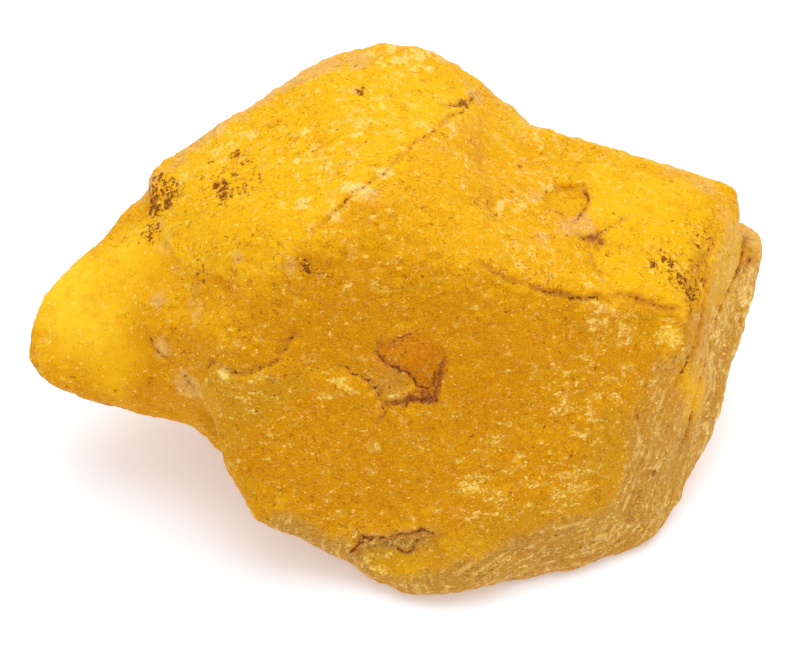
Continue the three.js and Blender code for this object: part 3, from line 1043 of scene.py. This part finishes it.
def sapphire_finish(settings):
    """Cloudy yellow crystal with frosted edges, painted glow, shade and glints, brown specks and
    stained cracks.
    """
    finish = Finish("rough sapphire")
    in_metres = finish.node("ShaderNodeTexCoord").outputs["Object"]
    place = finish.node(
        "ShaderNodeVectorMath", {"operation": "SCALE"}, {0: in_metres, "Scale": 1 / MM}
    ).outputs[0]
    # the grain is drawn out along the stone, and drifts of painted glints still more
    drawn = finish.node(
        "ShaderNodeVectorMath", {"operation": "MULTIPLY"}, {0: place, 1: (0.6, 1, 1)}
    ).outputs[0]
    drifting = finish.node(
        "ShaderNodeVectorMath", {"operation": "MULTIPLY"}, {0: place, 1: (0.45, 1, 1)}
    ).outputs[0]

    patches = finish.noise(place, 7, detail=3)
    blotches = finish.noise(place, 2.2, detail=4, roughness=0.6, seed=1)
    clumps = finish.noise(place, 0.8, detail=3, roughness=0.65, seed=5)
    crumbs = finish.noise(place, 0.35, detail=2, roughness=0.6, seed=2)
    grain = finish.noise(drawn, 0.22, detail=3, roughness=0.75, seed=3)
    edge = finish.attribute("edge")
    rough = 1 - 0.75 * finish.attribute("clear")

    # body colour: a painted glow where light comes through and on faces turned up, painted shade on
    # steep faces and faces turned down, and deeper where the stone is thick
    painted_glow = finish.attribute("painted_glow") + 0.3 * (blotches - 0.5) + 0.3 * (patches - 0.5)
    painted_glow = finish.eased(painted_glow, 0, 1)
    body = finish.mix(opaque(settings.deep), opaque(settings.bright), painted_glow)
    body = finish.mix(body, opaque(settings.lit), finish.attribute("lit"))
    body = finish.mix(body, opaque(settings.orange), finish.attribute("orange"))
    olive = finish.attribute("olive") * finish.eased(blotches + clumps, 0.6, 1.1)
    body = finish.mix(body, opaque(settings.olive), olive)
    # tan bands: worn skin, with painted shade low down
    tan = finish.attribute("tan") * finish.eased(blotches + clumps, 0.5, 1)
    body = finish.mix(body, opaque(settings.tan), tan)
    parts = finish.node("ShaderNodeSeparateXYZ", None, {0: place}).outputs
    from_band = finish.attribute("from_band") * 2.4
    along = finish.node(
        "ShaderNodeCombineXYZ",
        None,
        {0: from_band, 1: Value(finish, parts[0]) * 0.22, 2: Value(finish, parts[2]) * 0.22},
    ).outputs[0]
    layers = finish.noise(along, 1, detail=3, roughness=0.6, seed=8)
    layers = finish.eased(layers + 0.5 * (crumbs - 0.5), 0.5, 0.6) * finish.eased(clumps, 0.35, 0.6)
    body = finish.mix(body, opaque(settings.frost), layers * tan * 0.5)

    amber = finish.noise(place, 1.7, detail=3, roughness=0.6, seed=15)
    amber = finish.eased(amber, 0.52, 0.68) * (1 - tan)
    body = finish.mix(body, opaque(settings.orange), amber * 0.3)

    # pinkish, granular skin, and worn edges
    peach = finish.attribute("peach") + 0.3 * edge + 0.9 * (blotches - 0.5)
    peach = finish.eased(peach + 1.1 * (crumbs - 0.5) + 1.1 * (clumps - 0.5), 0.3, 0.95)
    body = finish.mix(body, opaque(settings.peach), peach * rough * 0.75)

    # pale clumps, made of small bits
    frost = finish.attribute("frost")
    bits = finish.noise(place, 0.2, detail=2, roughness=0.8, seed=6)
    pale = finish.eased(clumps + 0.3 * (blotches - 0.5) + 0.2 * frost, 0.57, 0.68) * rough
    pale = pale * (0.25 + 0.75 * finish.eased(bits + 0.1 * frost, 0.51, 0.57))
    body = finish.mix(body, opaque(settings.frost), pale * (0.45 + 0.4 * frost))

    # fine grain: light and dark flecks nearly everywhere, and painted glints in clusters
    strewn = (0.2 + finish.eased(blotches + 0.5 * (patches - 0.5), 0.35, 0.65)) * rough
    fine = finish.noise(drawn, 0.09, detail=1, seed=4)
    light = 0.6 * finish.eased(grain, 0.55, 0.7) * strewn
    light = light + 0.45 * finish.eased(fine, 0.52, 0.66) * rough
    body = finish.mix(body, opaque(settings.bright), light * 0.8)
    shade = 0.6 * finish.eased(grain, 0.45, 0.3) * strewn
    shade = shade + 0.4 * finish.eased(fine, 0.48, 0.34) * rough
    body = finish.mix(body, opaque(settings.shade), shade, blend="MULTIPLY")
    wrinkles = finish.strokes(place, 0.6, 0.035, 0.3 * (blotches - 0.5), seed=80) * rough
    body = finish.mix(body, opaque(settings.shade), wrinkles * 0.7, blend="MULTIPLY")
    dashes = finish.strokes(drawn, 0.3, 0.05, 0.15 * (blotches - 0.5) - 0.03, seed=20) * rough
    body = finish.mix(body, opaque(settings.stain), dashes * 0.45)
    # drifts of painted glints, over a faint painted sheen
    drift = finish.noise(drifting, 0.8, detail=3, roughness=0.65, seed=12)
    drift = finish.eased(drift + 0.2 * finish.attribute("painted_glints"), 0.57, 0.72) * rough
    body = finish.mix(body, opaque(settings.painted_glint), drift * 0.12)
    crowding = 0.17 * drift - 0.085
    painted_glints = finish.stronger(
        finish.strokes(drawn, 0.3, 0.06, crowding, seed=40),
        finish.strokes(place, 0.2, 0.07, crowding, seed=60),
    )
    body = finish.mix(body, opaque(settings.painted_glint), painted_glints * 0.8)

    # reddish brown stain, granular
    stain = finish.attribute("stain") + 0.9 * (clumps - 0.5) + 0.9 * (crumbs - 0.5)
    stain = finish.eased(stain + 0.5 * (grain - 0.5), 0.35, 1)
    crusty = stain * (0.45 + 0.45 * finish.eased(crumbs, 0.4, 0.6))
    body = finish.mix(body, opaque(settings.stain), crusty)
    gritty = finish.eased(bits + 0.13 * stain, 0.56, 0.66) * stain

    # dark specks: dense in their clusters, a few everywhere
    crowded = finish.attribute("specks")
    clusters = finish.noise(place, 0.42, detail=3, roughness=0.7, distortion=0.5, seed=13)
    clusters = clusters + 0.19 * crowded
    here = finish.eased(crowded, 0, 0.3)
    faint = finish.eased(clusters, 0.58, 0.66) * here
    specks = finish.eased(clusters, 0.65, 0.69) * here
    dots = finish.noise(drawn, 0.5, detail=2, roughness=0.7, distortion=0.6, seed=9)
    dots = finish.eased(dots + 0.08 * (patches - 0.5), 0.68, 0.71)

    # stained cracks, thin and broken into dots
    wobble = 0.35 * (crumbs - 0.5) + 0.3 * (grain - 0.5)
    off_line = abs(finish.attribute("crack_left") + wobble)
    near = finish.attribute("crack_near")
    strong = finish.attribute("crack_stain")
    broken = finish.noise(place, 0.4, detail=2, roughness=0.6, seed=11)
    broken = finish.eased(broken + 0.2 * (strong - 0.7), 0.5, 0.57)
    line = finish.eased(off_line, 0.14, 0.06) * finish.eased(near, 0.6, 0.4)
    line = line * broken * finish.eased(strong, 0.1, 0.4)
    halo = finish.eased(near + 1.5 * wobble + 0.7 * (blotches - 0.5), 0.45, 0.05) * strong
    body = finish.mix(body, opaque(settings.stain), finish.stronger(halo * 0.55, faint * 0.5))
    marks = finish.stronger(specks, dots * 0.8, line, gritty * 0.8)
    body = finish.mix(body, opaque(settings.dark), marks * 0.85)

    height = 0.012 * grain + 0.03 * crumbs
    bump = finish.node(
        "ShaderNodeBump",
        None,
        {"Height": height, "Strength": 1, "Distance": MM},
    ).outputs["Normal"]
    skin = finish.node(
        "ShaderNodeBsdfPrincipled",
        {"subsurface_method": "RANDOM_WALK"},
        {
            "Base Color": body,
            "Roughness": 0.34 + 0.3 * grain,
            "Normal": bump,
            "IOR": 1.77,
            "Specular IOR Level": 0.02,
            "Subsurface Weight": 0.5,
            "Subsurface Radius": (1, 0.5, 0.1),
            "Subsurface Scale": 1.2 * MM,
        },
    )
    finish.node("ShaderNodeOutputMaterial", None, {"Surface": skin.outputs["BSDF"]})
    return finish.material


# ---------------------------------------------------------------- operators


class SAPPHIRE_OT_stone(bpy.types.Operator):
    """Adds the stone, shaped and finished"""

    bl_idname = "sapphire.stone"
    bl_label = "Stone"

    def execute(self, context):
        settings = context.scene.sapphire_stone
        noise.seed_set(WANDER_SEED)
        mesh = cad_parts[NODE].data.copy()
        mesh.materials.clear()
        stone = bpy.data.objects.new("stone", mesh)
        context.scene.collection.objects.link(stone)
        shape_skin(stone, settings)
        paint_marks(stone)
        stone.vertex_groups.clear()
        mesh = stone.data
        mesh.materials.append(sapphire_finish(settings))
        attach(stone, "root")
        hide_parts(NODE)
        return {"FINISHED"}


class SAPPHIRE_OT_stage(bpy.types.Operator):
    """Adds the table, the light and the camera"""

    bl_idname = "sapphire.stage"
    bl_label = "Stage"

    def execute(self, context):
        settings = context.scene.sapphire_stage
        bpy.ops.object.select_all(action="DESELECT")
        bpy.ops.mesh.primitive_plane_add(size=TABLE_SIDE * MM)
        table = context.active_object
        table.name = "table"
        finish = Finish("pale table")
        cloth = finish.node(
            "ShaderNodeBsdfPrincipled",
            None,
            {
                "Base Color": opaque(settings.table),
                "Roughness": 0.8,
                "Specular IOR Level": 0.1,
                "Emission Color": (1, 1, 1, 1),
                "Emission Strength": settings.lit,
            },
        )
        finish.node("ShaderNodeOutputMaterial", None, {"Surface": cloth.outputs["BSDF"]})
        table.data.materials.append(finish.material)

        bpy.ops.object.light_add(type="AREA", location=LAMP_PLACE * MM)
        key = context.active_object
        key.name = "key light"
        key.data.energy = settings.key
        key.data.size = LAMP_SIDE * MM
        key.rotation_euler = (-key.location).to_track_quat("-Z", "Y").to_euler()

        world = bpy.data.worlds.new("soft sky")
        world.use_nodes = True
        sky = world.node_tree.nodes["Background"]
        sky.inputs["Color"].default_value = (1, 1, 1, 1)
        sky.inputs["Strength"].default_value = settings.sky
        context.scene.world = world
        context.scene.view_settings.view_transform = "Standard"

        target = Vector(settings.target)
        back = Vector((0, -math.cos(settings.height), math.sin(settings.height)))
        bpy.ops.object.camera_add(location=target + back * settings.distance)
        camera = context.active_object
        camera.rotation_euler = (-back).to_track_quat("-Z", "Y").to_euler()
        camera.data.lens = settings.lens
        camera.data.sensor_width = SENSOR_WIDTH
        camera.data.clip_start = 1 * MM
        context.scene.camera = camera
        return {"FINISHED"}


class SAPPHIRE_PT_build(bpy.types.Panel):
    """Lists the steps that build the stone"""

    bl_label = "Rough Sapphire"
    bl_idname = "SAPPHIRE_PT_build"
    bl_space_type = "VIEW_3D"
    bl_region_type = "UI"
    bl_category = "Sapphire"

    def draw(self, context):
        for name, owner in (
            ("sapphire.stone", context.scene.sapphire_stone),
            ("sapphire.stage", context.scene.sapphire_stage),
        ):
            box = self.layout.box()
            box.operator(name)
            for setting in owner.__annotations__:
                box.prop(owner, setting)


CLASSES = (
    StoneSettings,
    StageSettings,
    SAPPHIRE_OT_stone,
    SAPPHIRE_OT_stage,
    SAPPHIRE_PT_build,
)


def register():
    for item in CLASSES:
        bpy.utils.register_class(item)
    bpy.types.Scene.sapphire_stone = bpy.props.PointerProperty(type=StoneSettings)
    bpy.types.Scene.sapphire_stage = bpy.props.PointerProperty(type=StageSettings)


def unregister():
    del bpy.types.Scene.sapphire_stage
    del bpy.types.Scene.sapphire_stone
    for item in reversed(CLASSES):
        bpy.utils.unregister_class(item)


def main():
    register()
    bpy.ops.sapphire.stone()
    bpy.ops.sapphire.stage()


if __name__ == "__main__":
    main()
